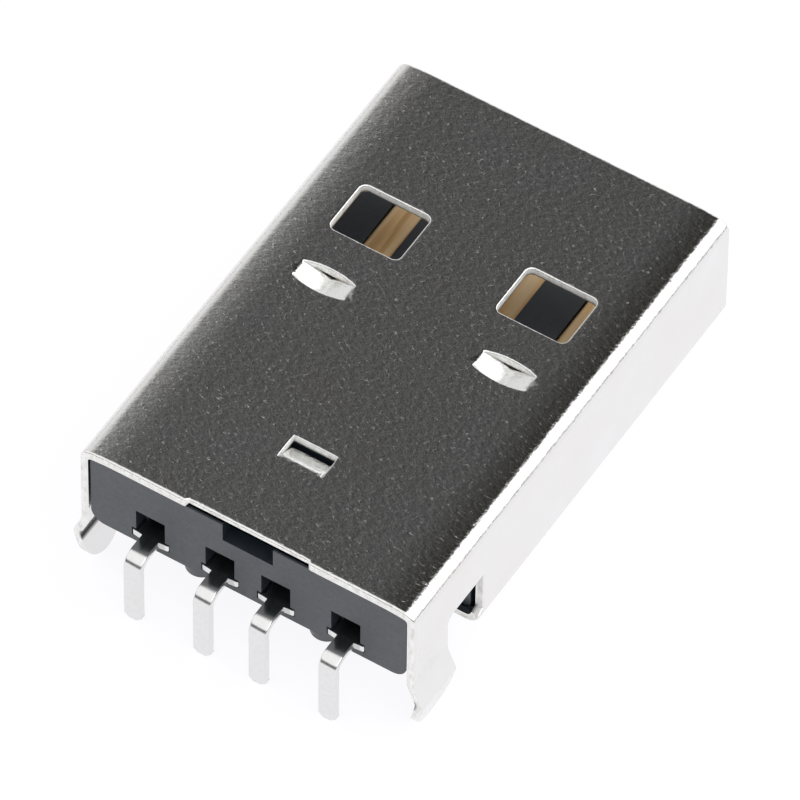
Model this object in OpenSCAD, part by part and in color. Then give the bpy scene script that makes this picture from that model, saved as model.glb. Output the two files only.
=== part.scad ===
// Right-angle USB type A plug for the edge of a circuit board, with a sunk
// (mid-mount) body: a folded and plated steel shell, one black moulded housing
// with its tongue, and four stamped contacts whose tails go through the board.
// Origin: on the board's top face, midway between the two locating posts.
// X runs across the plug, +Y points to the mating end, +Z points away from the board.

/* [Shell] */
// Outside width of the shell
shell_w = 12; // [11.8:0.05:12.2]
// Outside height of the shell
shell_h = 4.5; // [4.4:0.05:4.6]
// Length of the shell from its rear edge to its mouth
shell_l = 18; // [17:0.25:24]
// Thickness of the shell's sheet metal
sheet_t = 0.3; // [0.24:0.02:0.32]
// Outside radius of the shell's four bends
bend_r = 0.5; // [0.45:0.05:0.7]
// How far the shell's underside lies below the board's top face
sink = 1.15; // [0.9:0.05:1.3]
// Width of the seam along the middle of the underside
seam_gap = 0.06; // [0.04:0.02:0.12]
// Width of the dovetail that locks the seam, at its wide end
dovetail_w = 2.2; // [1.6:0.1:2.6]
// Length of that dovetail across the seam
dovetail_d = 1.3; // [0.9:0.1:1.6]

/* [Windows] */
// Width of each of the four latch windows
window_w = 2.5; // [2.2:0.05:2.7]
// Length of each latch window
window_l = 2; // [1.8:0.05:2.3]
// Distance from the plug's centre line to a window's centre
window_x = 3; // [2.8:0.05:3.2]
// Distance from the mouth to the near edge of the windows
window_setback = 4.8; // [4.4:0.1:5.2]
// Corner radius of the windows
window_r = 0.35; // [0.2:0.05:0.5]

/* [Stop lances] */
// Length across the plug of each stop lance, a strip pressed down between two slits
stop_w = 1.9; // [1.6:0.1:2.2]
// Width of each stop lance along the plug
stop_l = 0.75; // [0.6:0.05:0.9]
// Depth to which a stop lance is pressed down
stop_depth = 0.46; // [0.36:0.02:0.56]
// Distance from the centre line to the middle of a stop lance
stop_x = 3.25; // [3:0.05:3.4]
// Distance from the rear edge to the near edge of the stop lances
stop_y = 9; // [8.5:0.1:10]

/* [Locking lance] */
// Width of the locking lance on the centre line
lock_w = 1.5; // [1.2:0.1:1.6]
// Length of the locking lance's tongue along the plug
lock_l = 0.8; // [0.7:0.05:1]
// Distance from the rear edge to the far edge of the locking lance's hole
lock_y = 3.85; // [3.5:0.05:4.3]
// Angle to which the locking lance is bent down
lock_angle = 32; // [24:1:38]

/* [Rear of the shell] */
// Length of the rear part that sits over the board, open underneath
over_board_l = 3.9; // [3.6:0.1:4.2]
// How much further back the floor of the shell starts than its sides
floor_lip = 0.25; // [0.1:0.05:0.4]
// Height of the side walls' lower edge above the board
skirt_z = 1.15; // [0.9:0.05:1.4]
// Width of the stretch of rear edge where the carrier strip was broken off
breakoff_w = 4.4; // [3.6:0.2:5]
// How far that stretch is set forward
breakoff_d = 0.1; // [0.06:0.02:0.16]

/* [Board legs] */
// Width of each leg that locks into the board
leg_w = 1.9; // [1.6:0.1:2.2]
// How far a leg reaches below the board's top face
leg_reach = 2.45; // [2.2:0.05:2.8]
// How far a leg is kinked outwards
leg_kink = 0.33; // [0.2:0.01:0.4]
// Depth of the kink's crest below the board's top face
kink_z = 1; // [0.8:0.05:1.2]
// Angle at which a leg turns in again below its crest
leg_toe_in = 14; // [8:1:20]

/* [Housing] */
// Clearance between the housing and the inside of the shell
fit = 0.05; // [0.03:0.01:0.08]
// Thickness of the tongue above the shell's floor
tongue_t = 1.9; // [1.8:0.05:1.95]
// How far the tongue's end lies behind the shell's mouth
tongue_setback = 0.4; // [0.3:0.05:0.8]
// Width of the groove that lets the locking lance pass
notch_w = 1.8; // [1.7:0.05:2]
// Depth of that groove
notch_d = 0.74; // [0.7:0.02:0.8]
// Diameter of the two locating posts
post_d = 1.1; // [1:0.05:1.2]
// Length of the locating posts
post_l = 1; // [0.8:0.05:1.2]
// Distance between the posts' centres
post_pitch = 4.5; // [4.3:0.1:4.7]
// Distance from the rear edge to the posts' centres
post_y = 1; // [0.8:0.1:1.3]

/* [Contacts] */
// Spacing of the two middle contacts
pitch_mid = 2; // [1.9:0.05:2.1]
// Spacing of an outer contact from its neighbour
pitch_out = 2.5; // [2.4:0.05:2.6]
// Width of a contact where it meets the socket
contact_w = 1; // [0.9:0.05:1.1]
// Thickness of the contacts' strip
contact_t = 0.25; // [0.2:0.01:0.3]
// Depth of the contacts below the tongue's face
contact_sunk = 0.08; // [0.04:0.02:0.12]
// Distance from the mouth to the tips of the outer contacts
tip_setback = 1.6; // [1.4:0.1:2]
// How much further back the two middle contacts end
data_delay = 1; // [0.8:0.1:1.2]
// Height of the contacts' lower face above the board at the rear
tail_z = 0.25; // [0.2:0.01:0.3]
// Width across the shoulders that hold a contact in the housing
shoulder_w = 1.32; // [1.2:0.02:1.4]
// Width of a solder tail
tail_w = 0.62; // [0.54:0.02:0.7]
// How far the tails' rear face stands behind the shell's rear edge
tail_out = 1.02; // [0.9:0.02:1.2]
// Outside radius of the tails' bend
tail_bend_r = 0.5; // [0.4:0.05:0.6]
// How far the tails reach below the board's top face
tail_reach = 2.35; // [2.1:0.05:2.6]

/* [Hidden] */
$fn = 48;
// reach of a cutting body past the face that it cuts
past = 1;
// gap between the locking lance's end and the edge it was cut from
lock_gap = 0.1;

rear_y = -post_y;
mouth_y = rear_y + shell_l;
floor_z = -sink;
roof_z = floor_z + shell_h;
inner_w = shell_w - 2 * sheet_t;
inner_floor_z = floor_z + sheet_t;
inner_roof_z = roof_z - sheet_t;
inner_bend_r = bend_r - sheet_t;
step_y = rear_y + over_board_l;
window_y = mouth_y - window_setback - window_l / 2;
stop_mid_y = rear_y + stop_y + stop_l / 2;
lock_far_y = rear_y + lock_y;
lock_hinge_y = lock_far_y - lock_l - lock_gap;

// width of the slits along the locking lance's sides
slit = 0.03;
// radius in the corner between a leg and the side wall's lower edge
leg_fillet_r = 0.25;
// height over which the sheet swings out from the wall to the kink's crest
kink_run = 0.75;
// length of the bevel under the broken-off stretch of rear edge
breakoff_bevel = 0.16;
// width of the dovetail's neck, as a share of its wide end
neck_share = 0.62;
// half the width of the flat along a stop lance's crease, and how far its ends run into the roof
crease = 0.12;
stop_root = 0.15;

housing_w = inner_w - 2 * fit;
housing_rear_y = rear_y + fit;
housing_top_z = inner_roof_z - fit;
housing_floor_z = inner_floor_z + fit;
block_front_y = rear_y + stop_y - fit;
tongue_end_y = mouth_y - tongue_setback;
tongue_top_z = inner_floor_z + tongue_t;
tongue_bottom_z = housing_floor_z;
// radius along the lower edges of the rear block
block_r = 0.5;
// height of the relief over the floor's rear edge, where the seat for the board ends
seat_relief = 0.1;
// vertical edges of the front block stand back from the shell by this much
front_relief = 0.12;
// rounding of the tongue's end and edges
tongue_r = 0.3;
// clearance round a contact in its channel
channel_fit = 0.02;
// height of the opening above each contact at the rear, and its depth
pocket_top_z = 1.5;
pocket_l = 2.4;
// height of the side slots that take the shoulders
shoulder_slot_h = 0.36;
shoulder_l = 0.7;
// chamfer on a post's end, and how far its root runs up into the block
post_chamfer = 0.08;
post_root = 0.2;
// depth of the hollows in the tongue behind the lower windows, and how far they reach
// past a window at its sides and at its ends
hollow_d = 0.45;
hollow_side = 0.2;
hollow_end = 0.4;

contact_top_z = tongue_top_z - contact_sunk;
contact_x = [-pitch_mid / 2 - pitch_out, -pitch_mid / 2, pitch_mid / 2, pitch_mid / 2 + pitch_out];
contact_end_y = [mouth_y - tip_setback, mouth_y - tip_setback - data_delay,
                 mouth_y - tip_setback - data_delay, mouth_y - tip_setback];
tail_y = rear_y - tail_out;
// where a contact climbs from the board side to the tongue's face
climb_start = 1.1;
climb_run = 0.9;
climb_y0 = housing_rear_y + climb_start;
climb_y1 = climb_y0 + climb_run;
// length of the contact's tip that dips into the tongue, and its dip
toe_l = 0.7;
toe_dip = 0.3;
// chamfer on the end of a tail, and how far the tail's strip runs in between the shoulders
tail_chamfer = 0.14;
tail_root = 0.1;

// ---------- helpers ----------

// A rectangle with round corners, centred on the origin
module rounded_rect(w, h, r) {
    square([w - 2 * r, h], center = true);
    square([w, h - 2 * r], center = true);
    for (sx = [-1, 1], sy = [-1, 1])
        translate([sx * (w / 2 - r), sy * (h / 2 - r)]) circle(r = r);
}

// A flat shape drawn in X and Z, extruded from y0 to y1
module along_y(y0, y1) {
    translate([0, y1, 0]) rotate([90, 0, 0]) linear_extrude(y1 - y0) children();
}

// A flat shape drawn in Y and Z, extruded across X from x0 to x1
module along_x(x0, x1) {
    translate([x0, 0, 0]) rotate([90, 0, 90]) linear_extrude(x1 - x0) children();
}

// A flat shape drawn in X and Y, extruded from z0 to z1
module along_z(z0, z1) {
    translate([0, 0, z0]) linear_extrude(z1 - z0) children();
}

module mirrored_x() {
    children();
    mirror([1, 0, 0]) children();
}

// ---------- shell ----------

// The folded sheet's section, drawn in X and Z
module tube_section() {
    translate([0, (floor_z + roof_z) / 2]) difference() {
        rounded_rect(shell_w, shell_h, bend_r);
        rounded_rect(inner_w, shell_h - 2 * sheet_t, inner_bend_r);
    }
}

// The latch windows, through the roof and through the floor
module windows() {
    mirrored_x() translate([window_x, window_y, 0])
        along_z(floor_z - past, roof_z + past) rounded_rect(window_w, window_l, window_r);
}

// The space under the rear part, where the board comes in from behind, up to the skirt
module board_opening() {
    translate([-shell_w / 2 - past, rear_y - past, floor_z - past])
        cube([shell_w + 2 * past, over_board_l + past, skirt_z - floor_z + past]);
}

// The floor and its two bends, which start a little behind the side walls
module floor_lip_piece() {
    along_y(step_y - floor_lip, step_y + sheet_t) intersection() {
        tube_section();
        translate([-shell_w / 2, floor_z]) square([shell_w, bend_r]);
    }
}

// A leg's section in X and Z, on the +X side: straight, kinked out, then in again
module leg_section() {
    outer = shell_w / 2;
    crest_z = -kink_z;
    toe_drop = leg_reach - kink_z;
    toe_x = leg_kink - toe_drop * tan(leg_toe_in);
    polygon([
        [outer - sheet_t, skirt_z + leg_fillet_r],
        [outer, skirt_z + leg_fillet_r],
        [outer, crest_z + kink_run],
        [outer + leg_kink, crest_z],
        [outer + toe_x, -leg_reach],
        [outer + toe_x - sheet_t, -leg_reach],
        [outer + leg_kink - sheet_t, crest_z],
        [outer - sheet_t, crest_z + kink_run]]);
}

// A leg's outline in Y and Z: parallel edges and a round end
module leg_outline() {
    r = leg_w / 2;
    translate([rear_y, -leg_reach + r]) square([leg_w, leg_reach - r + skirt_z + leg_fillet_r]);
    translate([rear_y + r, -leg_reach + r]) circle(r = r);
    // fillet where the leg's front edge runs into the side wall's lower edge
    translate([rear_y + leg_w - leg_fillet_r, skirt_z - leg_fillet_r]) difference() {
        square(2 * leg_fillet_r);
        translate([2 * leg_fillet_r, 0]) circle(r = leg_fillet_r);
    }
}

module leg() {
    intersection() {
        along_y(rear_y - past, rear_y + leg_w + past) leg_section();
        along_x(inner_w / 2 - 2 * sheet_t, shell_w / 2 + 2 * sheet_t) leg_outline();
    }
}

// The hole and the pressed strip of a stop lance, centred on x = 0
module stop_hole() {
    translate([-stop_w / 2, stop_mid_y - stop_l / 2, inner_roof_z - past])
        cube([stop_w, stop_l, sheet_t + 2 * past]);
}

module stop_strip() {
    r = stop_w / 2;
    top = roof_z - stop_depth;
    under = inner_roof_z - stop_depth;
    along_y(stop_mid_y - stop_l / 2, stop_mid_y + stop_l / 2) polygon([
        [-r - stop_root, roof_z], [-r, roof_z], [-crease, top], [crease, top],
        [r, roof_z], [r + stop_root, roof_z], [r + stop_root, inner_roof_z], [r, inner_roof_z],
        [crease, under], [-crease, under], [-r, inner_roof_z], [-r - stop_root, inner_roof_z]]);
}

// The locking lance: a tongue hinged at the rear and bent down towards the mouth
module lock_hole() {
    translate([-lock_w / 2 - slit, lock_hinge_y, inner_roof_z - past])
        cube([lock_w + 2 * slit, lock_far_y - lock_hinge_y, sheet_t + 2 * past]);
}

module lock_tongue() {
    run = lock_l / cos(lock_angle);
    lean = sheet_t * tan(lock_angle / 2);
    along_x(-lock_w / 2, lock_w / 2) polygon([
        [lock_hinge_y - sheet_t, roof_z], [lock_hinge_y, roof_z],
        [lock_hinge_y + lock_l, roof_z - lock_l * tan(lock_angle)],
        [lock_hinge_y + lock_l - sheet_t * sin(lock_angle),
         roof_z - run * sin(lock_angle) - sheet_t * cos(lock_angle)],
        [lock_hinge_y - lean, inner_roof_z], [lock_hinge_y - sheet_t, inner_roof_z]]);
}

// The stretch of rear edge left by the broken-off carrier strip
module breakoff() {
    along_x(-breakoff_w / 2, breakoff_w / 2) polygon([
        [rear_y - past, inner_roof_z - past], [rear_y - past, roof_z + past],
        [rear_y + breakoff_d, roof_z + past], [rear_y + breakoff_d, roof_z - sheet_t / 2],
        [rear_y + breakoff_d + breakoff_bevel, inner_roof_z],
        [rear_y + breakoff_d + breakoff_bevel, inner_roof_z - past]]);
}

// The seam in the floor: a straight butt joint with one dovetail
module seam() {
    mid_y = (step_y + window_y - window_l / 2) / 2;
    neck = dovetail_w * neck_share;
    along_z(floor_z - past, inner_floor_z + sheet_t) difference() {
        union() {
            translate([-seam_gap / 2, rear_y]) square([seam_gap, shell_l + past]);
            polygon([[-seam_gap / 2, mid_y - neck / 2 - seam_gap],
                     [dovetail_d, mid_y - dovetail_w / 2 - seam_gap],
                     [dovetail_d + seam_gap, mid_y - dovetail_w / 2 - seam_gap],
                     [dovetail_d + seam_gap, mid_y + dovetail_w / 2 + seam_gap],
                     [dovetail_d, mid_y + dovetail_w / 2 + seam_gap],
                     [-seam_gap / 2, mid_y + neck / 2 + seam_gap]]);
        }
        polygon([[-seam_gap, mid_y - neck / 2], [dovetail_d, mid_y - dovetail_w / 2],
                 [dovetail_d, mid_y + dovetail_w / 2], [-seam_gap, mid_y + neck / 2]]);
    }
}

module shell() {
    color([0.72, 0.72, 0.71]) {
        difference() {
            union() {
                difference() {
                    along_y(rear_y, mouth_y) tube_section();
                    board_opening();
                    mirrored_x() translate([stop_x, 0, 0]) stop_hole();
                    lock_hole();
                }
                floor_lip_piece();
                mirrored_x() leg();
                mirrored_x() translate([stop_x, 0, 0]) stop_strip();
                lock_tongue();
            }
            windows();
            breakoff();
            seam();
        }
    }
}

// ---------- housing ----------

// Section of the rear block in X and Z, with round lower edges
module rear_block_section() {
    w = housing_w / 2;
    r = inner_bend_r;
    difference() {
        translate([-w, 0]) square([2 * w, housing_top_z]);
        // upper corners follow the shell's bends
        mirrored_flat() translate([w - r, housing_top_z - r]) difference() {
            square(r + past);
            circle(r = r);
        }
        // lower corners
        mirrored_flat() translate([w - block_r, block_r]) difference() {
            translate([0, -block_r - past]) square([block_r + past, block_r + past]);
            circle(r = block_r);
        }
    }
}

module mirrored_flat() {
    children();
    mirror([1, 0]) children();
}

// The shallow relief in the seat over the floor's rear edge, clear of the board's cut edge
module seat_end() {
    translate([-shell_w / 2, step_y - floor_lip - fit, -past])
        cube([shell_w, floor_lip + fit, past + seat_relief]);
}

// The block inside the shell, from the step to the stop lances
module front_block() {
    w = housing_w - 2 * front_relief;
    h = housing_top_z - housing_floor_z;
    along_y(step_y, block_front_y)
        translate([0, (housing_top_z + housing_floor_z) / 2]) rounded_rect(w, h, inner_bend_r);
}

// The tongue that carries the contacts, with a rounded end
module tongue() {
    w = housing_w;
    t = tongue_top_z - tongue_bottom_z;
    intersection() {
        along_y(block_front_y - past, tongue_end_y)
            translate([0, (tongue_top_z + tongue_bottom_z) / 2]) rounded_rect(w, t, inner_bend_r);
        along_x(-w, w) translate([tongue_end_y - shell_l / 2, (tongue_top_z + tongue_bottom_z) / 2])
            rounded_rect(shell_l, t, tongue_r);
    }
}

// The groove in the block's roof that the locking lance drops into
module lance_groove() {
    translate([-notch_w / 2, rear_y - past, housing_top_z - notch_d])
        cube([notch_w, lock_far_y + fit - rear_y + past, notch_d + past]);
}

// The way in for one contact: pocket, shoulder slots, climb and groove
module contact_channel(x, end_y) {
    w = contact_w + 2 * channel_fit;
    top = contact_top_z + channel_fit;
    translate([x, 0, 0]) {
        // open pocket above the contact at the rear
        translate([-w / 2, rear_y - past, tail_z])
            cube([w, pocket_l + past, pocket_top_z - tail_z]);
        // slots for the shoulders
        translate([-shoulder_w / 2 - channel_fit, rear_y - past, tail_z])
            cube([shoulder_w + 2 * channel_fit, past + fit + shoulder_l, shoulder_slot_h]);
        // passage through the block
        translate([-w / 2, climb_y1, contact_top_z - contact_t])
            cube([w, block_front_y - climb_y1, contact_t + channel_fit]);
        // groove along the tongue
        translate([-w / 2, block_front_y, contact_top_z - contact_t])
            cube([w, end_y + channel_fit - block_front_y, contact_t + past]);
        // dip for the tip
        along_x(-w / 2, w / 2) polygon([
            [end_y - toe_l, contact_top_z - contact_t],
            [end_y + channel_fit, contact_top_z - contact_t - toe_dip - channel_fit],
            [end_y + channel_fit, contact_top_z]]);
    }
}

module posts() {
    for (sx = [-1, 1]) translate([sx * post_pitch / 2, 0, 0]) rotate_extrude()
        polygon([[0, -post_l], [post_d / 2 - post_chamfer, -post_l],
                 [post_d / 2, -post_l + post_chamfer], [post_d / 2, post_root], [0, post_root]]);
}

// Hollows under the tongue, where the socket's lower springs reach in
module latch_hollows() {
    mirrored_x() translate([window_x, window_y, tongue_bottom_z - past])
        along_z(0, past + hollow_d)
            rounded_rect(window_w + 2 * hollow_side, window_l + 2 * hollow_end, window_r);
}

module housing() {
    color([0.12, 0.12, 0.13]) difference() {
        union() {
            difference() {
                along_y(housing_rear_y, step_y) rear_block_section();
                seat_end();
            }
            front_block();
            tongue();
            posts();
        }
        lance_groove();
        for (i = [0:3]) contact_channel(contact_x[i], contact_end_y[i]);
        latch_hollows();
    }
}

// ---------- contacts ----------

// A contact's side view in Y and Z, from the bend of the tail to the tip
module contact_profile(end_y) {
    top = contact_top_z;
    low = tail_z;
    t = contact_t;
    r_out = tail_bend_r;
    r_in = tail_bend_r - contact_t;
    // tongue stretch, climb and rear stretch
    polygon([
        [tail_y + r_out, low], [climb_y0, low], [climb_y1, top - t], [end_y - toe_l, top - t],
        [end_y, top - t - toe_dip], [end_y, top - toe_dip], [end_y - toe_l, top],
        [climb_y1, top], [climb_y0, low + t], [tail_y + r_out, low + t]]);
    // bend down behind the shell
    translate([tail_y + r_out, low + t - r_out]) intersection() {
        difference() {
            circle(r = r_out);
            circle(r = r_in);
        }
        translate([-r_out, 0]) square(r_out);
    }
    // solder tail
    translate([tail_y, -tail_reach]) square([t, tail_reach + low + t - r_out]);
}

// A contact's front view in X and Z, for the tail: straight with a chamfered end
module tail_front() {
    w = tail_w / 2;
    polygon([[-w, -tail_reach + tail_chamfer], [-w + tail_chamfer, -tail_reach],
             [w - tail_chamfer, -tail_reach], [w, -tail_reach + tail_chamfer],
             [w, shell_h], [-w, shell_h]]);
}

module contact(i) {
    end_y = contact_end_y[i];
    body_y0 = housing_rear_y;
    color([0.78, 0.62, 0.36]) translate([contact_x[i], 0, 0]) {
        // mating strip and the stretch inside the housing
        intersection() {
            along_x(-contact_w / 2, contact_w / 2) contact_profile(end_y);
            translate([-contact_w, body_y0, -tail_reach])
                cube([2 * contact_w, shell_l, tail_reach + shell_h]);
        }
        // shoulders
        intersection() {
            along_x(-shoulder_w / 2, shoulder_w / 2) contact_profile(end_y);
            translate([-contact_w, body_y0, 0]) cube([2 * contact_w, shoulder_l, shell_h]);
        }
        // solder tail
        intersection() {
            along_x(-tail_w / 2, tail_w / 2) contact_profile(end_y);
            along_y(tail_y - past, body_y0 + tail_root) tail_front();
        }
    }
}

module contact_1() { contact(0); }
module contact_2() { contact(1); }
module contact_3() { contact(2); }
module contact_4() { contact(3); }

shell();
housing();
contact_1();
contact_2();
contact_3();
contact_4();
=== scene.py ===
"""Right-angle USB type A plug for a board edge: the looks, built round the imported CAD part.

The sections follow the plug as it is put together: the folded shell, the moulded
housing, the four contacts, and then the table, the light and the camera.
"""

import math

import bmesh
import bpy
import numpy as np
from mathutils import Matrix, Vector
from mathutils.geometry import delaunay_2d_cdt


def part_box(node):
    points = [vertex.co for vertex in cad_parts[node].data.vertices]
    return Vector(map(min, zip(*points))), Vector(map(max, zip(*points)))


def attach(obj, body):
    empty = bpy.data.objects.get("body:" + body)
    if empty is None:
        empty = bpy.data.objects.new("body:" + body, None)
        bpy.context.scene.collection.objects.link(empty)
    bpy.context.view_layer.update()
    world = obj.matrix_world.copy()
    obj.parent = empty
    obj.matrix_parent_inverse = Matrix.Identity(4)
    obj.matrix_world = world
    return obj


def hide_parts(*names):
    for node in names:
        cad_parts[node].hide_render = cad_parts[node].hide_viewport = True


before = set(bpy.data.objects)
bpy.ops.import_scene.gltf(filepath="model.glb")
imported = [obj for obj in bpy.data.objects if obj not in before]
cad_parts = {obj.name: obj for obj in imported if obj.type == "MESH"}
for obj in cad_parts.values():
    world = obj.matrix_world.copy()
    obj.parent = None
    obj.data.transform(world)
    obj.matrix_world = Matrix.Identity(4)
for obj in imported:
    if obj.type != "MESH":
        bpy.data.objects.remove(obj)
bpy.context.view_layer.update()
scene = bpy.context.scene

# ---------- shell ----------
# One strip of 0.3 mm steel. It is pierced and pressed while flat, folded into a tube that
# closes on a dovetailed seam in the floor, broken off its carrier strip and nickel plated.
# Here it is cut as the flat strip too, and then folded.

MM = 0.001
lo, hi = (np.array(corner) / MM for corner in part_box("shell"))
ROOF_Z, REAR_Y, MOUTH_Y, LEG_TIP_Z = hi[2], lo[1], hi[1], lo[2]
WIDTH, HEIGHT, SHEET, BEND = 12.0, 4.5, 0.3, 0.5
OVER_BOARD, LIP, SKIRT_Z = 3.9, 0.25, 1.15
LEG_W, LEG_FILLET, LEG_KINK, KINK_Z, KINK_RUN, TOE_IN = 1.9, 0.25, 0.33, 1.0, 0.75, 14.0
WINDOW_W, WINDOW_L, WINDOW_X, WINDOW_SETBACK, WINDOW_R = 2.5, 2.0, 3.0, 4.8, 0.22
STOP_W, STOP_L, STOP_DEPTH, STOP_X, STOP_Y, CREASE = 1.9, 0.75, 0.38, 3.25, 9.0, 0.04
STOP_TRIM, PRESS_SOFT, EYE_MIDDLE, EYE_END = 0.03, 0.04, 0.08, 0.08
CROWN, CROWN_RUN, CROWN_IN = 0.05, 0.42, 0.1
KINK_SOFT, CREST_SOFT = 0.12, 0.07
LOCK_W, LOCK_HOLE, LOCK_FAR, LOCK_ANGLE, LOCK_BEND = 1.5, 0.9, 3.85, 28.0, 0.32
BREAK_W, BREAK_D, BREAK_BEVEL = 4.4, 0.1, 0.16
SEAM, DOVETAIL_W, DOVETAIL_D, NECK = 0.06, 2.2, 1.3, 0.62
SLIT = 0.03
# width and depth to which the punch draws in the rim of each kind of cut
OUTLINE_RIM, WINDOW_RIM, SLIT_RIM = (0.09, 0.06), (0.055, 0.045), (0.06, 0.05)
LANCE_RIM, STRIP_RIM = (0.04, 0.035), (0.05, 0.03)

# distance across the flat strip, from the roof's middle, at which each stretch starts
QUARTER = BEND * math.pi / 2
ROOF_S = WIDTH / 2 - BEND
WALL_S = ROOF_S + QUARTER
LOWER_S = WALL_S + HEIGHT - 2 * BEND
FLOOR_S = LOWER_S + QUARTER
SKIRT_S = WALL_S + ROOF_Z - BEND - SKIRT_Z
LEG_END_S = WALL_S + ROOF_Z - BEND - LEG_TIP_Z
STEP_Y = REAR_Y + OVER_BOARD
LEG_ROWS_Y = REAR_Y + LEG_W + LEG_FILLET
WINDOW_Y = MOUTH_Y - WINDOW_SETBACK - WINDOW_L / 2
STOP_MID_Y = REAR_Y + STOP_Y + STOP_L / 2
HINGE_Y = REAR_Y + LOCK_FAR - LOCK_HOLE


def ramp(u, softness):
    """0 below u = 0 and u above it, with a soft corner: (u + sqrt(u^2 + softness^2)) / 2."""
    return (u + np.sqrt(u * u + softness * softness)) / 2


def pressed(s, y):
    """Depth to which the roof is pressed down at (s, y): a V across each stop lance.

    depth = STOP_DEPTH * (1 - (|s - middle| - CREASE) / (half - CREASE)), softened at both bends.
    """
    across = np.abs(np.abs(s) - STOP_X)
    half = STOP_W / 2 - STOP_TRIM
    slope = STOP_DEPTH / (half - CREASE)
    depth = slope * (ramp(half - across, PRESS_SOFT) - ramp(CREASE - across, PRESS_SOFT))
    on_strip = (np.abs(y - STOP_MID_Y) < STOP_L / 2 - SLIT / 2) & (across < half)
    return np.where(on_strip, np.clip(depth, 0, STOP_DEPTH), 0)


def spread(s, y):
    """How far the pressing drags the metal round a stop lance along Y, into an eye shape.

    t = |s - middle| / half and d = (y - middle) / (STOP_L / 2): the shift is
    (EYE_MIDDLE - (EYE_MIDDLE + EYE_END) t^2) d on the strip, and dies away outside it.
    """
    t = np.abs(np.abs(s) - STOP_X) / (STOP_W / 2)
    d = (y - STOP_MID_Y) / (STOP_L / 2)
    size = EYE_MIDDLE - (EYE_MIDDLE + EYE_END) * np.minimum(t, 1) ** 2
    fade = np.exp(-8 * np.clip(t - 1, 0, None) ** 2 - 2 * np.clip(np.abs(d) - 1, 0, None) ** 2)
    return size * np.clip(d, -1, 1) * fade * (np.abs(s) < ROOF_S)


def fold(s, y, depth):
    """Takes a point of the flat strip to the folded shell, in millimetres.

    turn = (|s| - ROOF_S) / BEND, held between 0 and 90 degrees, and the same again from
    LOWER_S. The outer face is made of the straight runs and of arcs of radius BEND, and
    the point lies depth inside it, along (sin turn, cos turn).
    """
    side, girth = np.sign(s), np.abs(s)
    leg = y < LEG_ROWS_Y + 0.01
    upper = np.clip((girth - ROOF_S) / BEND, 0, math.pi / 2)
    lower = np.where(leg, 0, np.clip((girth - LOWER_S) / BEND, 0, math.pi / 2))
    down = np.clip(girth - WALL_S, 0, np.where(leg, 99, LOWER_S - WALL_S))
    back_in = np.where(leg, 0, np.clip(girth - FLOOR_S, 0, None))
    turn = upper + lower
    depth = depth + pressed(s, y)
    dragged = spread(s, y)
    x = np.minimum(girth, ROOF_S) + BEND * (np.sin(upper) + np.cos(lower) - 1) - back_in
    z = ROOF_Z + BEND * (np.cos(upper) - 1 - np.sin(lower)) - down
    # the roof falls a little towards the folds
    z = z - CROWN * np.exp(-((girth - ROOF_S - CROWN_IN) / CROWN_RUN) ** 2)
    # a leg swings out to its crest and then in again
    out = LEG_KINK / KINK_RUN
    crest = ramp(-KINK_Z - z, CREST_SOFT) * (out + math.tan(math.radians(TOE_IN)))
    x = x + np.where(leg, out * ramp(KINK_RUN - KINK_Z - z, KINK_SOFT) - crest, 0)
    # the locking lance turns down about its hinge, over the radius LOCK_BEND
    on_lance = (girth < LOCK_W / 2 + SLIT / 2) & (y < REAR_Y + LOCK_FAR - SLIT / 2)
    run = np.clip(np.where(on_lance, y - HINGE_Y, 0), 0, None)
    full = math.radians(LOCK_ANGLE)
    tip = np.minimum(run / LOCK_BEND, full)
    straight = np.clip(run - LOCK_BEND * full, 0, None)
    y = y - run + LOCK_BEND * np.sin(tip) + straight * math.cos(full) - depth * np.sin(tip)
    z = z - LOCK_BEND * (1 - np.cos(tip)) - straight * math.sin(full)
    x = x - depth * np.sin(turn)
    z = z - depth * np.cos(turn) * np.cos(tip)
    return np.stack([side * x, y + dragged, z], axis=1)


def round_rect(cx, cy, w, h, r, steps=7):
    """A rectangle's outline with round corners, clockwise, so that the metal is on its left."""
    turn = np.linspace(0, math.pi / 2, steps)
    corners = [(1, 1, 0), (-1, 1, 1), (-1, -1, 2), (1, -1, 3)]
    loop = [
        np.stack([cx + sx * (w / 2 - r) + r * np.cos(turn + k * math.pi / 2),
                  cy + sy * (h / 2 - r) + r * np.sin(turn + k * math.pi / 2)], axis=1)
        for sx, sy, k in corners
    ]
    loop = np.concatenate(loop)[::-1]
    return loop[np.linalg.norm(loop - np.roll(loop, 1, axis=0), axis=1) > 1e-6]


def cut_at(loop, s_lines, y_lines):
    """Adds a point wherever an edge of the loop crosses a line of the grid."""
    made = []
    for p, q in zip(loop, np.roll(loop, -1, axis=0)):
        axis = int(abs(q[1] - p[1]) > abs(q[0] - p[0]))
        if abs(q[axis] - p[axis]) < 0.02:
            made.append(p[None])
            continue
        t = ((y_lines if axis else s_lines) - p[axis]) / (q[axis] - p[axis])
        gap = 0.012 / abs(q[axis] - p[axis])
        t = np.sort(np.append(t[(t > gap) & (t < 1 - gap)], 0.0))
        made.append(p + t[:, None] * (q - p))
    return np.concatenate(made)


def shifted(loop, distance):
    """The loop moved into the metal on its left: p + distance * (n1 + n2) / (1 + n1 . n2)."""
    edge = np.roll(loop, -1, axis=0) - loop
    edge /= np.linalg.norm(edge, axis=1)[:, None]
    after = np.stack([-edge[:, 1], edge[:, 0]], axis=1)
    before = np.roll(after, 1, axis=0)
    share = 1 + (before * after).sum(axis=1)[:, None]
    return loop + distance * (before + after) / share


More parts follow.
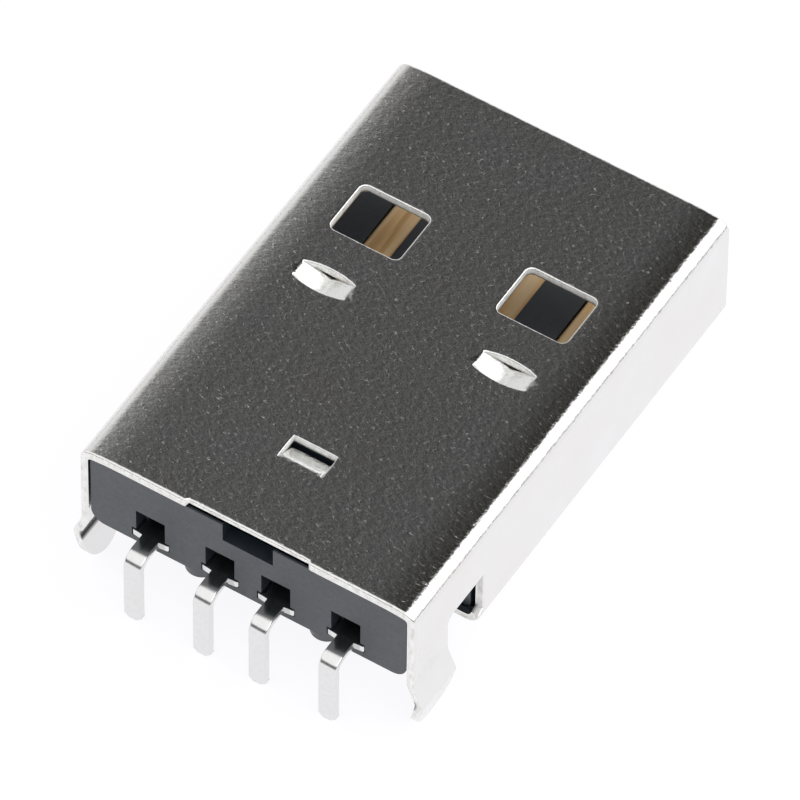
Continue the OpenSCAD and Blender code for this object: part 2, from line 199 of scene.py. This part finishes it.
def inside(points, loop):
    """True for each point that a ray to +s leaves the loop an odd number of times from."""
    a, b = loop, np.roll(loop, -1, axis=0)
    s, y = points[:, :1], points[:, 1:]
    spans = (a[:, 1] > y) != (b[:, 1] > y)
    rise = np.where(a[:, 1] == b[:, 1], 1, b[:, 1] - a[:, 1])
    cross = a[:, 0] + (y - a[:, 1]) * (b[:, 0] - a[:, 0]) / rise
    return (spans & (s < cross)).sum(axis=1) % 2 == 1


def to_edges(points, a, b):
    """Distance from each point to its nearest edge a-b, and that edge's number."""
    best, which = np.full(len(points), 1e9), np.zeros(len(points), int)
    for first in range(0, len(points), 2000):
        part = points[first:first + 2000, None]
        along = b - a
        t = ((part - a) * along).sum(axis=2) / (along * along).sum(axis=1)
        gap = np.linalg.norm(part - a - np.clip(t, 0, 1)[..., None] * along, axis=2)
        which[first:first + 2000] = gap.argmin(axis=1)
        best[first:first + 2000] = gap.min(axis=1)
    return best, which


# half of the strip's outline, from the middle of the rear edge to the middle of the mouth
knee = np.linspace(0, math.pi / 2, 6)
toe = np.linspace(0, math.pi, 26)
leg_r = LEG_W / 2
half = np.concatenate([
    [[0, REAR_Y + BREAK_D], [BREAK_W / 2 - 0.06, REAR_Y + BREAK_D], [BREAK_W / 2, REAR_Y + 0.02]],
    [[BREAK_W / 2 + 0.07, REAR_Y]],
    np.stack([LEG_END_S - leg_r + leg_r * np.sin(toe),
              REAR_Y + leg_r - leg_r * np.cos(toe)], axis=1),
    np.stack([SKIRT_S + LEG_FILLET * (1 - np.sin(knee)),
              REAR_Y + LEG_W + LEG_FILLET * (1 - np.cos(knee))], axis=1),
    [[SKIRT_S, STEP_Y], [LOWER_S - 0.1, STEP_Y], [LOWER_S, STEP_Y - LIP]],
])
floor_end_s = FLOOR_S + ROOF_S
mid_y = (STEP_Y + WINDOW_Y - WINDOW_L / 2) / 2
neck = DOVETAIL_W * NECK / 2
wide = DOVETAIL_W / 2
socket = np.array([
    [SEAM / 2, STEP_Y - LIP], [SEAM / 2, mid_y - neck - SEAM], [DOVETAIL_D, mid_y - wide - SEAM],
    [DOVETAIL_D + SEAM, mid_y - wide - SEAM], [DOVETAIL_D + SEAM, mid_y + wide + SEAM],
    [DOVETAIL_D, mid_y + wide + SEAM], [SEAM / 2, mid_y + neck + SEAM], [SEAM / 2, MOUTH_Y]])
tenon = np.array([
    [-SEAM / 2, STEP_Y - LIP], [-SEAM / 2, mid_y - neck], [DOVETAIL_D, mid_y - wide],
    [DOVETAIL_D, mid_y + wide], [-SEAM / 2, mid_y + neck], [-SEAM / 2, MOUTH_Y]])
right = np.concatenate([half, np.stack([floor_end_s - socket[:, 0], socket[:, 1]], axis=1)])
left = np.concatenate([half[1:], np.stack([floor_end_s + tenon[:, 0], tenon[:, 1]], axis=1)])
left = left[::-1] * [-1, 1]
outline = np.concatenate([right, left])

# the grid on which the strip is cut: close lines where it bends
arcs = np.linspace(0, QUARTER, 9)
S_LINES = np.concatenate([
    np.linspace(0, ROOF_S, 12), ROOF_S + arcs[1:], np.linspace(WALL_S, LOWER_S, 8)[1:],
    LOWER_S + arcs[1:], np.linspace(FLOOR_S, floor_end_s, 12)[1:-1]])
S_LINES = np.unique(np.concatenate([-S_LINES, S_LINES]))
Y_LINES = np.linspace(REAR_Y, MOUTH_Y, 37)
LEG_LINES = np.arange(SKIRT_S + 0.15, LEG_END_S, 0.09)
LEG_LINES = np.concatenate([-LEG_LINES, LEG_LINES])


def stamped_cuts():
    """Every cut edge: its outline, and the width and depth to which its outer rim is drawn in."""
    yield outline, *OUTLINE_RIM
    for side in (-1, 1):
        roof = round_rect(side * WINDOW_X, WINDOW_Y, WINDOW_W, WINDOW_L, WINDOW_R)
        yield roof, *WINDOW_RIM
        floor_s = side * (floor_end_s - WINDOW_X)
        yield round_rect(floor_s, WINDOW_Y, WINDOW_W, WINDOW_L, WINDOW_R), *WINDOW_RIM
        for end in (-1, 1):
            y = STOP_MID_Y + end * (STOP_L - SLIT) / 2
            slit = round_rect(side * STOP_X, y, STOP_W - 2 * STOP_TRIM, SLIT, SLIT / 2, 3)
            yield slit, *SLIT_RIM
    w, far, near = LOCK_W / 2, REAR_Y + LOCK_FAR, HINGE_Y
    lance = np.array([[-w - SLIT, near], [-w - SLIT, far], [w + SLIT, far], [w + SLIT, near],
                      [w, near], [w, far - SLIT], [-w, far - SLIT], [-w, near]])
    yield lance, *LANCE_RIM


THETA = np.radians([0, 22.5, 45, 67.5])
loops, edges_a, edges_b, edge_roll = [], [], [], []
all_s = np.unique(np.concatenate([S_LINES, LEG_LINES]))
for loop, roll_w, roll_d in stamped_cuts():
    fine = np.linspace(-STOP_X - STOP_W, STOP_X + STOP_W, 65)
    hole = loop is not outline
    roof_cut = hole and np.abs(loop[:, 0]).max() < ROOF_S
    loop = cut_at(loop, np.union1d(all_s, fine) if roof_cut else all_s, Y_LINES)
    loops.append((loop, hole))
    edges_a.append(loop)
    edges_b.append(np.roll(loop, -1, axis=0))
    edge_roll.append(np.tile([roll_w, roll_d], (len(loop), 1)))
    for q in np.append(roll_w * (1 - np.sin(THETA)), roll_w + 0.05):
        loops.append((shifted(loop, q), False))
edges_a, edges_b, edge_roll = map(np.concatenate, (edges_a, edges_b, edge_roll))
outer = loops[0][0]

grid = np.stack(np.meshgrid(S_LINES, Y_LINES[1:-1]), axis=-1).reshape(-1, 2)
grid = grid[~((np.abs(grid[:, 0]) > SKIRT_S - 0.2) & (grid[:, 1] < LEG_ROWS_Y + 0.3))]
leg_grid = np.stack(np.meshgrid(LEG_LINES, np.linspace(REAR_Y, REAR_Y + LEG_W, 8)[1:-1]), axis=-1)
strip_s = np.linspace(STOP_X - STOP_W / 2, STOP_X + STOP_W / 2, 25)
strip_s = np.concatenate([-strip_s, strip_s])
strip_grid = np.stack(np.meshgrid(strip_s, STOP_MID_Y + np.array([-0.1, 0, 0.1])), axis=-1)
lance_grid = np.stack(
    np.meshgrid(np.linspace(-0.6, 0.6, 9), HINGE_Y + np.linspace(0, 0.75, 13)), axis=-1)
grid = np.concatenate([grid, leg_grid.reshape(-1, 2)])
clear, nearest = to_edges(grid, edges_a, edges_b)
grid = grid[inside(grid, outer) & (clear > edge_roll[nearest, 0] + 0.09)]
small = np.concatenate([strip_grid.reshape(-1, 2), lance_grid.reshape(-1, 2)])
clear, nearest = to_edges(small, edges_a, edges_b)
small = small[clear > 0.03]
in_small = (np.abs(grid[:, 0]) < 4.4) & (np.abs(grid[:, 1] - STOP_MID_Y) < 0.3)
grid = np.concatenate([grid[~in_small], small])

points, edges = [grid], []
count = len(grid)
for loop, _ in loops:
    number = np.arange(len(loop)) + count
    edges.append(np.stack([number, np.roll(number, -1)], axis=1))
    points.append(loop)
    count += len(loop)
flat, _, faces, *_ = delaunay_2d_cdt(
    [Vector(p) for p in np.concatenate(points)], np.concatenate(edges).tolist(), [], 0, 1e-5, False)
flat, faces = np.array([tuple(p) for p in flat]), np.array(faces)
centre = flat[faces].mean(axis=1)
keep = inside(centre, outer)
for loop, cut in loops:
    if cut:
        keep &= ~inside(centre, loop)
faces = faces[keep]
d1, d2 = flat[faces[:, 1]] - flat[faces[:, 0]], flat[faces[:, 2]] - flat[faces[:, 0]]
area = d1[:, 0] * d2[:, 1] - d1[:, 1] * d2[:, 0]
faces = np.where((area < 0)[:, None], faces[:, ::-1], faces)
used, faces = np.unique(faces, return_inverse=True)
flat, faces = flat[used], faces.reshape(-1, 3)

# outer face, drawn in at its rims by a quarter ellipse, and the flat inner face
away, nearest = to_edges(flat, edges_a, edges_b)
roll_w, roll_d = edge_roll[nearest].T
on_strip = (np.abs(np.abs(flat[:, 0]) - STOP_X) < STOP_W / 2)
on_strip &= np.abs(flat[:, 1] - STOP_MID_Y) < STOP_L / 2 - SLIT / 2
roll_w = np.where(on_strip, STRIP_RIM[0], roll_w)
roll_d = np.where(on_strip, STRIP_RIM[1], roll_d)
share = np.clip(1 - away / roll_w, 0, 1)
rim = roll_d * (1 - np.sqrt(1 - share * share))
directed = np.concatenate([faces[:, [0, 1]], faces[:, [1, 2]], faces[:, [2, 0]]])
key = directed[:, 0] * len(flat) + directed[:, 1]
back = directed[:, 1] * len(flat) + directed[:, 0]
border = directed[~np.isin(key, back)]
n = len(flat)
middle = np.full(n, -1)
rim_vertices = np.unique(border)
middle[rim_vertices] = 2 * n + np.arange(len(rim_vertices))
broken = (np.abs(flat[:, 0]) < BREAK_W / 2 - 0.03) & (flat[:, 1] < REAR_Y + BREAK_D + 0.01)
torn = flat + np.where(broken[:, None], [0, BREAK_BEVEL], [0, 0])
verts = np.concatenate([
    fold(flat[:, 0], flat[:, 1], rim), fold(torn[:, 0], torn[:, 1], np.full(n, SHEET)),
    fold(*flat[rim_vertices].T, np.full(len(rim_vertices), SHEET * 0.55))])
a, b = border.T
walls = np.concatenate([
    np.stack([b, a, middle[a], middle[b]], axis=1),
    np.stack([middle[b], middle[a], a + n, b + n], axis=1)])


def add_piece(name, verts, faces, material, sharp=38.0):
    """Puts arrays of points and faces into a new object at the origin, in metres."""
    mesh = bpy.data.meshes.new(name)
    mesh.from_pydata((np.asarray(verts) * MM).tolist(), [], faces)
    mesh.validate()
    mesh.materials.append(material)
    mesh.polygons.foreach_set("use_smooth", np.ones(len(mesh.polygons), bool))
    mesh.set_sharp_from_angle(angle=math.radians(sharp))
    piece = bpy.data.objects.new(name, mesh)
    scene.collection.objects.link(piece)
    weigh = piece.modifiers.new("Even normals", "WEIGHTED_NORMAL")
    weigh.keep_sharp = True
    weigh.weight = 80
    return piece


class Finish:
    """A material's node tree, with short ways to add and join its nodes."""

    def __init__(self, name, colour, metallic, roughness):
        self.material = bpy.data.materials.new(name)
        self.material.use_nodes = True
        self.tree = self.material.node_tree
        self.surface = self.tree.nodes["Principled BSDF"]
        self.surface.inputs["Base Color"].default_value = (*colour, 1)
        self.surface.inputs["Metallic"].default_value = metallic
        self.surface.inputs["Roughness"].default_value = roughness
        self.place = self.tree.nodes.new("ShaderNodeTexCoord").outputs["Object"]

    def join(self, source, target):
        """Links one node's output to another's input."""
        self.tree.links.new(source, target)

    def add(self, kind, **values):
        """Adds a node and sets its sockets and its properties by name."""
        node = self.tree.nodes.new("ShaderNode" + kind)
        for key, value in values.items():
            label = key.replace("_", " ").title()
            key = label if label in node.inputs else key
            if key in node.inputs:
                node.inputs[key].default_value = value
            else:
                setattr(node, key, value)
        return node

    def noise(self, per_mm, detail=2.0, stretch=(1, 1, 1), rough=0.5):
        """Noise with this many grains a millimetre, stretched along an axis."""
        node = self.add("Mapping", scale=tuple(per_mm / MM / k for k in stretch))
        self.join(self.place, node.inputs["Vector"])
        grain = self.add("TexNoise", scale=1.0, detail=detail, roughness=rough)
        self.join(node.outputs["Vector"], grain.inputs["Vector"])
        return grain.outputs["Fac"]

    def ramp(self, source, stops):
        """A colour ramp through (position, colour) stops."""
        node = self.add("ValToRGB")
        bar = node.color_ramp.elements
        while len(bar) < len(stops):
            bar.new(1.0)
        for mark, (position, colour) in zip(bar, stops):
            mark.position = position
            mark.color = (*colour, 1) if isinstance(colour, tuple) else (colour,) * 3 + (1,)
        self.join(source, node.inputs["Fac"])
        return node.outputs["Color"]

    def mix(self, how, amount, a, b):
        """Two colours, or two levels given as colours, blended by an amount."""
        node = self.add("Mix", data_type="RGBA", blend_type=how)
        for number, value in ((0, amount), (6, a), (7, b)):
            if isinstance(value, bpy.types.NodeSocket):
                self.join(value, node.inputs[number])
            else:
                node.inputs[number].default_value = value
        return node.outputs[2]

    def bump(self, *layers):
        """Adds each (height, distance in mm, strength) layer on the one before."""
        last = None
        for height, distance, strength in layers:
            node = self.add("Bump", strength=strength, distance=distance * MM)
            self.join(height, node.inputs["Height"])
            if last:
                self.join(last, node.inputs["Normal"])
            last = node.outputs["Normal"]
        self.join(last, self.surface.inputs["Normal"])


NICKEL = (0.80, 0.79, 0.765)
plate = Finish("nickel plate", NICKEL, 1.0, 0.13)
grain = plate.noise(8.0, 4.0, (2.0, 1, 1), 0.6)
fleck = plate.noise(9.0, 1.0, (1.6, 1, 1), 0.5)
cloud = plate.noise(0.35, 3.0)
tear = plate.noise(5.0, 3.0, (1, 1, 2), 0.6)
skin = plate.ramp(cloud, [
    (0.35, (0.81, 0.81, 0.805)), (0.55, (0.80, 0.795, 0.78)), (0.7, (0.79, 0.78, 0.76))])
# painted shade: along the leg creases the plating colour is mixed towards near black
crease = plate.add("Attribute", attribute_name="crease").outputs["Fac"]
skin = plate.mix("MIX", crease, skin, (0.01, 0.009, 0.008, 1))
torn_skin = plate.ramp(tear, [
    (0.35, (0.70, 0.69, 0.66)), (0.55, (0.90, 0.90, 0.88)), (0.7, (0.95, 0.95, 0.94))])
cut = plate.add("Attribute", attribute_name="cut").outputs["Fac"]
plate.join(plate.mix("MIX", cut, skin, torn_skin), plate.surface.inputs["Base Color"])
# a torn edge is rougher and mirrors less than the plated face
for socket, plated, rough in (("Roughness", 0.13, 0.5), ("Metallic", 1.0, 0.1)):
    level = plate.mix("MIX", cut, (plated,) * 3 + (1,), (rough,) * 3 + (1,))
    plate.join(level, plate.surface.inputs[socket])
peak = plate.ramp(fleck, [(0.62, 0.0), (0.8, 1.0)])
plate.bump((peak, 0.005, 0.8), (grain, 0.024, 0.6))

shell = add_piece(
    "folded_shell", verts,
    faces.tolist() + (faces[:, ::-1] + n).tolist() + walls.tolist(), plate.material)
on_cut = np.zeros(len(verts), np.float32)
on_cut[2 * n:] = 1
on_cut[rim_vertices] = 1
# the punch leaves the bottom of the stop lances dull
on_cut[:n] += 0.7 * (on_strip & (np.abs(np.abs(flat[:, 0]) - STOP_X) < 0.2) & (away > 0.04))
# painted shade: the inside face of each leg is coloured nearly black along its sharp crease
creased = np.zeros(len(verts), np.float32)
CREASE_SHADE_DROP, CREASE_SHADE_RUN = 0.06, 0.22
below = (verts[n:2 * n, 2] + KINK_Z + CREASE_SHADE_DROP) / CREASE_SHADE_RUN
creased[n:2 * n] = np.exp(-below ** 6) * (flat[:, 1] < LEG_ROWS_Y)
for name, values in (("cut", on_cut), ("crease", creased)):
    zone = shell.data.attributes.new(name, "FLOAT", "POINT")
    zone.data.foreach_set("value", values)
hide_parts("shell")
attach(shell, "root")

# ---------- housing ----------
# One black glass-filled moulding, pushed into the shell from behind: the block with the two
# posts that stands on the board, the block that stops at the stop lances, and the tongue.


def merged_copy(node, name, material, edge, segments):
    """A copy of a CAD node with its loose triangles joined into faces and its edges rounded."""
    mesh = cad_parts[node].data.copy()
    mesh.name = name
    work = bmesh.new()
    work.from_mesh(mesh)
    bmesh.ops.remove_doubles(work, verts=work.verts, dist=1e-7)
    bmesh.ops.dissolve_limit(
        work, angle_limit=math.radians(0.5), verts=work.verts, edges=work.edges)
    work.to_mesh(mesh)
    work.free()
    mesh.materials.clear()
    mesh.materials.append(material)
    mesh.polygons.foreach_set("use_smooth", np.ones(len(mesh.polygons), bool))
    mesh.set_sharp_from_angle(angle=math.radians(38))
    piece = bpy.data.objects.new(name, mesh)
    scene.collection.objects.link(piece)
    round_off = piece.modifiers.new("Rounded edges", "BEVEL")
    round_off.width = edge * MM
    round_off.segments = segments
    round_off.limit_method = "ANGLE"
    round_off.angle_limit = math.radians(38)
    round_off.use_clamp_overlap = True
    weigh = piece.modifiers.new("Even normals", "WEIGHTED_NORMAL")
    weigh.keep_sharp = False
    return piece


resin = Finish("black resin", (0.010, 0.017, 0.025), 0.0, 0.42)
resin.surface.inputs["IOR"].default_value = 1.8
grain = resin.noise(9.0, 3.0, (1, 1, 1), 0.6)
flow = resin.noise(0.9, 3.0, (1, 1, 1), 0.5)
resin.join(resin.ramp(flow, [(0.3, (0.006, 0.012, 0.019)), (0.7, (0.011, 0.018, 0.027))]),
           resin.surface.inputs["Base Color"])
resin.join(resin.ramp(grain, [(0.3, 0.36), (0.7, 0.5)]), resin.surface.inputs["Roughness"])
resin.bump((flow, 0.02, 0.3), (grain, 0.008, 0.5))
housing = merged_copy("housing", "moulded_housing", resin.material, 0.04, 2)
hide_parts("housing")
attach(housing, "root")

# ---------- contacts ----------
# Four strips stamped from 0.25 mm copper alloy, gold flashed where they meet the socket and
# tinned on the tail, pressed into the housing from behind and bent down to the board.

CONTACT_W, STRIP, SHOULDER_W, SHOULDER_L, TAIL_W = 1.0, 0.25, 1.32, 0.7, 0.62
TAIL_BEND, TOE_L, TOE_DIP, TAIL_CHAMFER, EDGE_R = 0.5, 0.7, 0.3, 0.14, 0.045
HOUSING_FIT, TAIL_RISE, CLIMB_START, CLIMB_END, CLIMB_R = 0.05, 0.25, 1.1, 2.0, 0.3
# a distance along the strip that lies between the tail's bend and the shoulders
PAST_BEND = 2.6


def rounded_path(corners, radii, steps=10):
    """A bent line through the corners: each one is replaced by an arc tangent to both legs.

    The arc starts radius * tan(turn / 2) before the corner and turns evenly.
    """
    made = [corners[:1]]
    for before, corner, after, radius in zip(corners, corners[1:], corners[2:], radii):
        u = (corner - before) / np.linalg.norm(corner - before)
        v = (after - corner) / np.linalg.norm(after - corner)
        turn = math.acos(np.clip(u @ v, -1, 1))
        reach = radius * math.tan(turn / 2)
        side = v - (u @ v) * u
        side /= np.linalg.norm(side)
        angle = np.linspace(0, turn, steps)[:, None]
        made.append(corner - reach * u + radius * (np.sin(angle) * u + (1 - np.cos(angle)) * side))
    return np.concatenate(made + [corners[-1:]])


def resampled(path, stations):
    """The path's points at the given distances along it."""
    step = np.linalg.norm(np.diff(path, axis=0), axis=1)
    along = np.concatenate([[0], np.cumsum(step)])
    return np.stack([np.interp(stations, along, path[:, k]) for k in (0, 1)], axis=1), along


def strip_mesh(x, path, stations, half_width, thickness):
    """A flat strip: a rectangle with round corners carried along a path in Y and Z.

    Ring i is centre_i + across * (w_i - r, r cos) + normal_i * (t / 2 - r, r sin).
    """
    centre, _ = resampled(path, stations)
    along = np.gradient(centre, axis=0)
    along /= np.linalg.norm(along, axis=1)[:, None]
    normal = np.stack([-along[:, 1], along[:, 0]], axis=1)
    turn = np.concatenate([np.linspace(k, k + 1, 4) for k in range(4)]) * math.pi / 2
    sx, sn = np.repeat([1, -1, -1, 1], 4), np.repeat([1, 1, -1, -1], 4)
    radius = np.minimum(EDGE_R, half_width * 0.9)[:, None]
    across = sx * (half_width[:, None] - radius) + radius * np.cos(turn)
    rise = sn * (thickness / 2 - radius) + radius * np.sin(turn)
    xs = x + across
    ys = centre[:, :1] + rise * normal[:, :1]
    zs = centre[:, 1:] + rise * normal[:, 1:]
    verts = np.stack([xs, ys, zs], axis=-1).reshape(-1, 3)
    rings, around = xs.shape
    i, j = np.meshgrid(np.arange(rings - 1), np.arange(around), indexing="ij")
    k = (j + 1) % around
    quads = np.stack([i * around + j, i * around + k,
                      (i + 1) * around + k, (i + 1) * around + j], axis=-1)
    ends = [list(range(around))[::-1], list(range((rings - 1) * around, rings * around))]
    return verts, quads.reshape(-1, 4)[:, ::-1].tolist(), [end[::-1] for end in ends]


tinned = Finish("gold flash and tin", (0.8, 0.8, 0.8), 1.0, 0.3)
streak = tinned.noise(3.0, 2.0, (1, 16, 1), 0.55)
grain = tinned.noise(7.0, 2.0, (1, 1, 1), 0.55)
gold = tinned.ramp(streak, [
    (0.35, (0.72, 0.44, 0.20)), (0.5, (0.95, 0.64, 0.32)), (0.62, (1.0, 0.76, 0.46))])
tin = tinned.ramp(grain, [(0.3, (0.75, 0.75, 0.745)), (0.7, (0.79, 0.79, 0.785))])
zone = tinned.add("Attribute", attribute_name="gold").outputs["Fac"]
tinned.join(tinned.mix("MIX", zone, tin, gold), tinned.surface.inputs["Base Color"])
tinned.join(tinned.mix("MIX", zone, (0.2,) * 3 + (1,), (0.46,) * 3 + (1,)),
            tinned.surface.inputs["Roughness"])
tinned.bump((streak, 0.006, 0.35), (grain, 0.003, 0.3))

for number in range(1, 5):
    node = f"contact_{number}"
    lo, hi = (np.array(corner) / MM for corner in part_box(node))
    x = (lo[0] + hi[0]) / 2
    tail_y, tip_z, tongue_z, end_y = lo[1], lo[2], hi[2], hi[1]
    rear_y = REAR_Y + HOUSING_FIT
    half_strip = STRIP / 2
    board_z = TAIL_RISE + half_strip
    climb = (rear_y + CLIMB_START, rear_y + CLIMB_END)
    corners = np.array([
        [tail_y + half_strip, tip_z], [tail_y + half_strip, board_z], [climb[0], board_z],
        [climb[1], tongue_z - half_strip], [end_y - TOE_L, tongue_z - half_strip],
        [end_y - 0.03, tongue_z - half_strip - TOE_DIP]])
    path = rounded_path(corners, [TAIL_BEND - half_strip, CLIMB_R, CLIMB_R, CLIMB_R])
    _, along = resampled(path, np.zeros(1))
    length = along[-1]
    # distances along the strip at which its shoulders start and end
    shoulder = np.interp(rear_y, path[:, 0][along > PAST_BEND], along[along > PAST_BEND])
    neck = shoulder + SHOULDER_L
    stations = np.unique(np.concatenate([
        [0, 0.01, 0.03], np.linspace(0.05, TAIL_CHAMFER, 4), along[1:-1],
        np.linspace(0.2, length, 60),
        shoulder + np.array([-0.05, -0.03, -0.01, 0.0, 0.02, 0.04]),
        neck + np.array([-0.04, -0.02, 0.0, 0.02]), [length - 0.03, length - 0.01]]))
    stations = stations[np.append(True, np.diff(stations) > 0.004)]
    half_width = np.interp(
        stations,
        [0, TAIL_CHAMFER, shoulder - 0.05, shoulder - 0.02,
         shoulder, shoulder + 0.03, neck - 0.03, neck],
        [TAIL_W / 2 - TAIL_CHAMFER, TAIL_W / 2, TAIL_W / 2, TAIL_W / 2 + 0.015,
         SHOULDER_W / 2 - 0.03, SHOULDER_W / 2, SHOULDER_W / 2, CONTACT_W / 2])
    half_width = half_width - np.interp(
        stations, [0, 0.02, length - 0.03, length], [0.02, 0, 0, 0.05])
    verts, quads, ends = strip_mesh(x, path, stations, half_width, STRIP)
    piece = add_piece(f"{node}_strip", verts, quads + ends, tinned.material, 50.0)
    gilt = piece.data.attributes.new("gold", "FLOAT", "POINT")
    share = np.clip(stations - neck - 0.6, 0, 1)
    gilt.data.foreach_set("value", np.repeat(share, 16).astype(np.float32))
    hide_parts(node)
    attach(piece, "root")

# ---------- table, light and camera ----------
# A white light table under a white tent. A dark card hangs over the far side of the plug,
# where the flat metal facing up mirrors it.

TABLE_SIZE = 4.0
table_z = LEG_TIP_Z * MM
bpy.ops.mesh.primitive_plane_add(size=TABLE_SIZE, location=(0, 0, 0))
table = bpy.context.object
table.name = "table"
table.data.transform(Matrix.Translation((0, 0, table_z)))
paper = bpy.data.materials.new("white table")
paper.use_nodes = True
sheet = paper.node_tree.nodes["Principled BSDF"]
sheet.inputs["Base Color"].default_value = (0.13, 0.13, 0.13, 1)
sheet.inputs["Roughness"].default_value = 0.9
sheet.inputs["Specular IOR Level"].default_value = 0.1
sheet.inputs["Emission Color"].default_value = (0.985, 0.975, 1, 1)
sheet.inputs["Emission Strength"].default_value = 0.9
table.data.materials.append(paper)

world = bpy.data.worlds.new("white tent")
scene.world = world
world.use_nodes = True
tree = world.node_tree
sky = tree.nodes["Background"]
direction = tree.nodes.new("ShaderNodeTexCoord").outputs["Generated"]


def graded(value, low, high, stops):
    """A level read through (value, level) stops from a value that runs from low to high."""
    share = tree.nodes.new("ShaderNodeMapRange")
    share.inputs["From Min"].default_value = low
    share.inputs["From Max"].default_value = high
    tree.links.new(value, share.inputs["Value"])
    ramp_node = tree.nodes.new("ShaderNodeValToRGB")
    bar = ramp_node.color_ramp.elements
    while len(bar) < len(stops):
        bar.new(1.0)
    for mark, (at, level) in zip(bar, stops):
        mark.position = (at - low) / (high - low)
        mark.color = (*level, 1) if isinstance(level, tuple) else (level, level, level, 1)
    tree.links.new(share.outputs["Result"], ramp_node.inputs["Fac"])
    return ramp_node.outputs["Color"]


def blended(how, factor, a, b):
    """Two lights blended by a factor, each of them a socket or a level."""
    node = tree.nodes.new("ShaderNodeMix")
    node.data_type = "RGBA"
    node.blend_type = how
    for socket, value in ((node.inputs[0], factor), (node.inputs[6], a), (node.inputs[7], b)):
        if isinstance(value, bpy.types.NodeSocket):
            tree.links.new(value, socket)
        else:
            socket.default_value = value
    return node.outputs[2]


# the angle of a direction about the Y axis, in degrees from straight up towards +X
axes = tree.nodes.new("ShaderNodeSeparateXYZ")
tree.links.new(direction, axes.inputs[0])
about_y = tree.nodes.new("ShaderNodeMath")
about_y.operation = "ARCTAN2"
tree.links.new(axes.outputs["X"], about_y.inputs[0])
tree.links.new(axes.outputs["Z"], about_y.inputs[1])
degrees = tree.nodes.new("ShaderNodeMath")
degrees.operation = "DEGREES"
tree.links.new(about_y.outputs[0], degrees.inputs[0])
around = degrees.outputs[0]

# the tent's dark hem stands higher behind the plug and to its right
lift = axes.outputs["Z"]
for axis, side, share in (("Y", "MINIMUM", 0.35), ("X", "MAXIMUM", -0.12)):
    part = tree.nodes.new("ShaderNodeMath")
    part.operation = side
    tree.links.new(axes.outputs[axis], part.inputs[0])
    part.inputs[1].default_value = 0.0
    total = tree.nodes.new("ShaderNodeMath")
    total.operation = "MULTIPLY_ADD"
    tree.links.new(part.outputs[0], total.inputs[0])
    total.inputs[1].default_value = share
    tree.links.new(lift, total.inputs[2])
    lift = total.outputs[0]

# levels are halves: the background doubles them
card = graded(around, -180, 180, [
    (-180, 0.55), (-90, 0.48), (-62, 0.43), (-50, 0.34), (-40, 0.19), (-32, 0.085), (-26, 0.043),
    (-22, 0.036), (-16, 0.018), (-10, (0.009, 0.008, 0.006)), (4, (0.004, 0.0035, 0.0025)),
    (8, 0.85), (88, 0.85), (95, 0.56)])
tent = graded(around, -180, 180, [(-180, 0.56), (4, 0.56), (8, 0.85), (88, 0.85), (95, 0.56)])
reach = graded(axes.outputs["Y"], -1, 1, [
    (-1, 0), (0, 0), (0.3, 0.93), (0.42, 0.982), (0.52, 0.993), (0.65, 1), (0.78, 1), (0.9, 0)])
hem = graded(lift, -1, 1, [(-1, 0.12), (0.04, 0.12), (0.06, 1)])
over = blended("MIX", reach, tent, card)
tree.links.new(blended("MULTIPLY", 1.0, over, hem), sky.inputs["Color"])
sky.inputs["Strength"].default_value = 2.0

# long lens, looking down on the plug from behind and from its right
AZIMUTH, ELEVATION, ROLL = map(math.radians, (31.87, 52.24, 0.63))
DISTANCE, LENS = 0.393, 579.7
LOOK_AT = Vector((0, 8.0, 0.85)) * MM
AIM_RIGHT, AIM_UP = -0.204 * MM, -0.498 * MM
back = Vector((math.sin(AZIMUTH) * math.cos(ELEVATION), -math.cos(AZIMUTH) * math.cos(ELEVATION),
               math.sin(ELEVATION)))
level = Vector((math.cos(AZIMUTH), math.sin(AZIMUTH), 0))
upright = back.cross(level)
right_axis = level * math.cos(ROLL) + upright * math.sin(ROLL)
up_axis = back.cross(right_axis)
camera_data = bpy.data.cameras.new("camera")
camera_data.lens = LENS
camera_data.sensor_width = 36
camera_data.clip_start, camera_data.clip_end = 0.01, 10
camera = bpy.data.objects.new("camera", camera_data)
scene.collection.objects.link(camera)
turn = Matrix((right_axis, up_axis, back)).transposed().to_4x4()
camera.matrix_world = Matrix.Translation(
    LOOK_AT + right_axis * AIM_RIGHT + up_axis * AIM_UP + back * DISTANCE) @ turn
scene.camera = camera
scene.view_settings.view_transform = "Standard"
